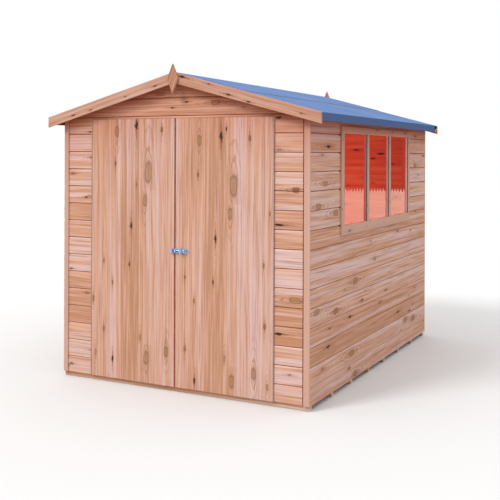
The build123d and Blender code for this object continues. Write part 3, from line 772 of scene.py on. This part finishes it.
# Bitumen that was laid hot has run out a little along both laps of the ridge strip.
ridge_low, ridge_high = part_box("roof_felt_ridge")
bleed_mesh = bmesh.new()
bleed_width, bleed_height = 0.012, 0.002
for side in (-1, 1):
    foot_line = [(ridge_high[0], ridge_low[2]),
                 (ridge_high[0] + bleed_width, ridge_low[2] - roof_fall * bleed_width),
                 (ridge_high[0], ridge_low[2] + bleed_height)]
    near, far = ([bleed_mesh.verts.new((side * x, end[1], z)) for x, z in foot_line]
                 for end in (ridge_low, ridge_high))
    bleed_mesh.faces.new(near)
    bleed_mesh.faces.new(far)
    for i in range(3):
        bleed_mesh.faces.new((near[i], near[i - 1], far[i - 1], far[i]))
bmesh.ops.recalc_face_normals(bleed_mesh, faces=bleed_mesh.faces)
# Hot bitumen sets to a dull blue black, clouded where grit has stuck to it.
set_bitumen = mottled("set_bitumen", "3e4f70", "4c5f84", 0.04, 0.6)
make_piece(bleed_mesh, "bitumen_laps", "shed", "roof_felt", [set_bitumen])

# Barge boards and finials: planed redwood boards along the verges, with a flat diamond over each joint.
# They are nailed through the felt into the battens.
# Darker heartwood: brown tan, with strong streaks and some black knots.
barge_redwood = softwood("planed_redwood_heartwood", "e2b8a4", "dfae96", "cd9478", "ae7658", "946044",
                         "8a6040", "8c5028", "2c160a", 0.62)
barge_low, barge_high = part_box("front_barge_boards")
barge_spots = ((-0.775, 0.05, 0.005, 0.9), (-0.635, 0.055, 0.004, 0.8), (-0.36, 0.05, 0.004, 0.5),
               (-0.135, 0.05, 0.005, 0.8), (0.06, 0.02, 0.008, 1), (0.25, 0.02, 0.004, 0.7),
               (0.385, 0.052, 0.006, 0.95), (0.52, 0.062, 0.005, 0.9), (0.86, 0.045, 0.004, 0.6))
barge_knots = [((x, barge_low[1], barge_high[2] - roof_fall * abs(x) - drop), half, dark)
               for x, drop, half, dark in barge_spots]
front_barge = cut_timber("front_barge_boards", "shed", "trim_wood", barge_redwood, 60, barge_knots,
                         tones=((0.45, 0.25), (0.35, 0.25)))
back_barge = cut_timber("back_barge_boards", "shed", "trim_wood", barge_redwood, 61, spacing=0.4)
# The front pair is planed down a little, and the back pair below the felt.
front_top, back_top = barge_high[2] - 0.0045, ridge_high[2] - 0.008
for piece, top in ((front_barge, front_top), (back_barge, back_top)):
    mesh = bmesh.new()
    mesh.from_mesh(piece.data)
    trim_to_slope(mesh, top)
    mesh.to_mesh(piece.data)
    mesh.free()
for seed, node in enumerate(("front_finial", "back_finial")):
    cut_timber(node, "shed", "trim_wood", barge_redwood, 62 + seed, spacing=3, arris=0.0006,
               tones=((-0.7, 0),))

# Door leaves: upright tongued boards of planed redwood, nailed to ledges and braces at the back.
# The joints are pulled up tight, so that only the grain changes from board to board.
# Planed redwood again, with more sapwood: pale pink streaks between the tan ones.
door_redwood = softwood("planed_redwood_doors", "e5c0b8", "e6b8a0", "dca589", "c58f6e", "b07a5a", "a87c56",
                        "9a5c30", "2c180c", 0.62, 1.2, roof_line)
left_joints = (-0.53, -0.42, -0.29, -0.155)
right_joints = (0.087, 0.197, 0.327, 0.462, 0.59)
# The tone of each board: how pale it is, and how much of it is sapwood.
left_leaf_tones = ((0.1, 0.45), (-0.1, 0.35), (-0.7, 0.2), (0, 0.6), (0.2, 0.75))
right_leaf_tones = ((0.2, 0.4), (-0.1, 0.35), (-0.7, 0.2), (0, 0.6), (0.2, 0.75), (0.1, 0.6))
# Place across and up the leaf, half width, and darkness.
left_leaf_knots = ((-0.463, 1.627, 0.015, 0.25), (-0.311, 1.664, 0.012, 1), (-0.119, 1.635, 0.009, 0.6),
                   (-0.474, 1.42, 0.007, 0.7), (-0.22, 1.365, 0.026, 0.03), (-0.309, 1.285, 0.006, 0.5),
                   (-0.245, 1.186, 0.015, 0.1), (-0.349, 1.022, 0.009, 0.95), (-0.564, 0.787, 0.006, 0.6),
                   (-0.362, 0.774, 0.007, 0.8), (-0.494, 0.65, 0.007, 0.5), (-0.648, 0.535, 0.009, 0.4),
                   (-0.563, 0.344, 0.008, 0.5), (-0.492, 0.155, 0.008, 0.9), (-0.628, 0.183, 0.008, 0.2),
                   (-0.232, 0.187, 0.018, 0.15), (-0.081, 0.243, 0.015, 0.25), (-0.277, 0.313, 0.008, 0.1))
right_leaf_knots = ((0.154, 1.566, 0.015, 0.25), (0.307, 1.589, 0.012, 1), (0.344, 1.634, 0.006, 0.9),
                    (0.503, 1.578, 0.009, 0.6), (0.146, 1.354, 0.007, 0.7), (0.395, 1.291, 0.026, 0.03),
                    (0.371, 1.122, 0.015, 0.1), (0.27, 0.967, 0.009, 0.95), (0.638, 1.132, 0.006, 0.4),
                    (0.597, 0.825, 0.007, 0.4), (0.054, 0.72, 0.006, 0.6), (0.254, 0.703, 0.007, 0.8),
                    (0.12, 0.578, 0.007, 0.5), (0.605, 0.465, 0.008, 0.6), (0.056, 0.277, 0.008, 0.5),
                    (0.125, 0.086, 0.008, 0.9), (0.384, 0.113, 0.018, 0.15), (0.534, 0.178, 0.016, 0.25),
                    (0.623, 0.109, 0.008, 0.2), (0.334, 0.245, 0.008, 0.1))
leaf_joint, leaf_arris = 0.0001, 0.0003
# Edges take the painted shade from two fifths of a board's depth inwards, but not out on the hinge side.
edge_shade_share, hinge_side = 0.4, 0.5


def board_leaf(name, node, body, joints, tones, knots, planed=0.0):
    """One leaf of upright boards in place of its CAD skin. Their backs are brushed red, their edges take a
    painted shade, and the edge at the seam may be planed back."""
    global board_count
    low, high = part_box(node)
    depth = high[1] - low[1]
    edges = [low[0] + planed, *joints, high[0]]
    mesh = bmesh.new()
    maps = new_maps(mesh)
    for left, right, tone in zip(edges, edges[1:], tones):
        width = right - left
        near, far = leaf_joint, width - leaf_joint
        section = [(near, leaf_arris), (near + leaf_arris, 0), (far - leaf_arris, 0), (far, leaf_arris),
                   (far, depth), (near, depth)]
        board_count += 1
        hearts = [(z, x - left, half, dark) for x, z, half, dark in knots if left <= x < right]
        lay_board(mesh, maps, section, low[2], high[2], lambda s, a, d: (left + a, low[1] + d, s),
                  board_count, hearts, tone, depth * edge_shade_share)
    bmesh.ops.recalc_face_normals(mesh, faces=mesh.faces)
    for face in mesh.faces:
        if face.material_index == 2 and abs(face.calc_center_median().x) > hinge_side:
            face.material_index = 0
    return make_piece(mesh, name, body, "door_boards", [door_redwood, inner_redwood, edge_shade_paint], node)


board_leaf("left_leaf_boards", "left_door_boards", "left_door", left_joints, left_leaf_tones, left_leaf_knots)
seam_planed, seam_lath_width, seam_lath_inset, seam_lath_arris = 0.006, 0.01, 0.0035, 0.0005
board_leaf("right_leaf_boards", "right_door_boards", "right_door", right_joints, right_leaf_tones,
           right_leaf_knots, seam_planed)
# A lath nailed to the edge of the left leaf closes the seam behind.
leaf_low, leaf_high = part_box("left_door_boards")
lath_mesh = bmesh.new()
bead_strip(lath_mesh, leaf_high[0], leaf_high[0] + seam_lath_width, leaf_low[1] + seam_lath_inset,
           leaf_high[1], leaf_low[2], leaf_high[2], seam_lath_arris)
# Its face took less of the preservative than sawn edges do: a red brown, a little blotched.
dipped_face = mottled("preservative_dipped_face", "a04e34", "b25e42", 0.03, 0.8)
make_piece(lath_mesh, "seam_lath", "left_door", "door_boards", [dipped_face])
cut_timber("left_door_battens", "left_door", "frame_wood", inner_redwood, 73)
cut_timber("right_door_battens", "right_door", "frame_wood", inner_redwood, 74)

# Hinges and pad bolt: pressed and rolled steel, galvanised, screwed to the jambs and leaves.
# The bolt slides in two straps on its plate and shoots into a keep on the other leaf.
zinc, add = blank_material("galvanised_steel")
# Hot zinc sets in spangles about 6 mm wide, each a blue grey with a gloss of its own.
here = add("TexCoord")
spangle = add("TexVoronoi", {"Vector": here.outputs["Object"], "Scale": 180})
speck = add("SeparateXYZ", (spangle.outputs["Color"],))
tint = add("ValToRGB", (speck.outputs[0],), [(0, linear("7896c4")), (1, linear("c2d2ec"))])
grip = add("MapRange", {"Value": speck.outputs[1], "To Min": 0.32, "To Max": 0.48})
# Painted shade: the undersides are darker, and the upper sides stay bright.
facing = add("SeparateXYZ", (here.outputs["Normal"],))
underside_shade = add("MapRange", {"Value": facing.outputs[2], "From Min": 0, "From Max": -0.5})
zinc_with_underside_shade = add("Mix RGBA", {0: underside_shade, 6: tint, 7: linear("2a3454")})
steel = add("BsdfPrincipled", {"Base Color": zinc_with_underside_shade, "Metallic": 1, "Roughness": grip})
add("OutputMaterial", (steel,))
dress(zinc, "bolt_plate", "bolt_rod")
# The keep is a short one, only a little longer than the rod reaches into it.
keep_mesh = bmesh.new()
keep_mesh.from_mesh(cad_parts["bolt_keep"].data)
keep_cut = 0.013
keep_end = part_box("bolt_keep")[0][0] + keep_cut
for vert in keep_mesh.verts:
    if vert.co.x < keep_end:
        vert.co.x += keep_cut
make_piece(keep_mesh, "short_keep", "left_door", "galvanised", [zinc], "bolt_keep")
# The hinges are lacquered to go with the wood: a dull pinkish bronze, rubbed in patches.
bronzed = mottled("bronze_lacquered_steel", "97807a", "b39c94", 0.02, 0.5)
dress(bronzed, "left_hinge_jamb_leaf", "right_hinge_jamb_leaf", "left_hinge_door_leaf",
      "right_hinge_door_leaf")

# Studio: a pale floor, soft light from above on the left of the front, and a white surround.
# The floor is matt, and keeps the shadow of the shed.
floor_reach, floor_drop = 30, 0.001
floor_mesh = bmesh.new()
bmesh.ops.create_grid(floor_mesh, x_segments=1, y_segments=1, size=floor_reach)
data = bpy.data.meshes.new("studio_floor")
floor_mesh.to_mesh(data)
floor_mesh.free()
floor = put("studio_floor", data)
floor.location.z = -floor_drop
pale, add = blank_material("pale_floor")
# The floor is white to the eye and to reflections, and throws back less light on to the walls.
path = add("LightPath")
shade = add("Mix RGBA", {0: path.outputs["Is Diffuse Ray"], 6: linear("dcdcdc"), 7: linear("a5a7ad")})
matt = add("BsdfPrincipled", {"Base Color": shade, "Roughness": 0.95, "Specular IOR Level": 0})
add("OutputMaterial", (matt,))
data.materials.append(pale)

camera_place = (2.8191, -5.7099, 1.4785)
scene = bpy.context.scene
world = bpy.data.worlds.new("studio")
scene.world = world
world.use_nodes = True
world.node_tree.nodes.clear()
add = functools.partial(add_node, world.node_tree)
# The light falls mostly from overhead, as under a wide soft box, and fades towards the sides.
path = add("LightPath")
seen = add("Math MAXIMUM", (path.outputs["Is Camera Ray"], path.outputs["Is Glossy Ray"]))
seen = add("Math MAXIMUM", (seen, path.outputs["Is Transmission Ray"]))
up = add("SeparateXYZ", (add("TexCoord").outputs["Generated"],))
overhead = add("MapRange", {"Value": up.outputs[2], "To Min": 0.5, "To Max": 1.42})
level = add("Mix", {0: seen, 2: overhead, 3: 1.0})
surround = add("Background", {"Color": (1, 1, 1, 1), "Strength": level})
add("OutputWorld", (surround,))

key = put("key", bpy.data.lights.new("key", "SUN"))
key.data.energy = 1.42
key.data.angle = math.radians(18)
key.rotation_euler = Vector((0.35, 0.62, -0.7)).to_track_quat("-Z", "Y").to_euler()

# A soft lamp under the ridge lets the inside be seen through the panes and the open doors.
inside = put("inside", bpy.data.lights.new("inside", "POINT"))
inside.data.energy = 44
inside.data.shadow_soft_size = 0.25
inside.location = (-0.1, 0, 1.1)
inside.visible_camera = False
inside.visible_transmission = False

# A dark cloth with a fringed hem hangs beyond the window side, out of view, before a sheet of peach paper.
# The upper panes mirror the cloth and the lower ones the paper.
flag_mesh = bpy.data.meshes.new("dark_flag")
way = Vector((0.4566, 0.8897, 0))
aside = Vector((-0.8897, 0.4566, 0))
# Both hang square to the way that the camera looks when it is mirrored in the panes.
shed_width, card_distance, card_shift = 1.79, 14, 0.15
half_card, flag_bottom, flag_top, paper_top, paper_behind = 2.5, 0.87, 9, 2, 0.05
mirrored = Vector((shed_width - camera_place[0], camera_place[1], 0))
middle = mirrored + card_distance * way + card_distance * card_shift * aside
teeth, tooth = 105, 0.07
hem = [(-half_card + half_card * i / teeth, flag_bottom + tooth * (i % 2)) for i in range(2 * teeth + 1)]
outline = hem + [(half_card, flag_top), (-half_card, flag_top)]
corners = [middle + aside * wide + Vector((0, 0, high)) for wide, high in outline]
flag_mesh.from_pydata(corners, [], [range(len(corners))])
flag_mesh.materials.append(mottled("black_cloth", "101010", "181818", 0.5, 0.9))
paper_mesh = bpy.data.meshes.new("peach_paper")
outline = ((-half_card, 0), (half_card, 0), (half_card, paper_top), (-half_card, paper_top))
sheet_corners = [middle + way * paper_behind + aside * wide + Vector((0, 0, high)) for wide, high in outline]
paper_mesh.from_pydata(sheet_corners, [], [range(4)])
paper_mesh.materials.append(mottled("peach_paper", "f8ead0", "fcf0d8", 0.5, 0.9))
for name, data in (("dark_flag", flag_mesh), ("peach_paper", paper_mesh)):
    card = put(name, data)
    for kind in ("camera", "diffuse", "shadow"):
        setattr(card, "visible_" + kind, False)

camera = put("camera", bpy.data.cameras.new("camera"))
camera.location = camera_place
camera.rotation_euler = (math.radians(90), math.radians(-0.22), math.radians(27.168))
camera.data.lens = 36 * 851.8 / 500
camera.data.shift_y = -95.1 / 500
scene.camera = camera
scene.view_settings.view_transform = "Standard"
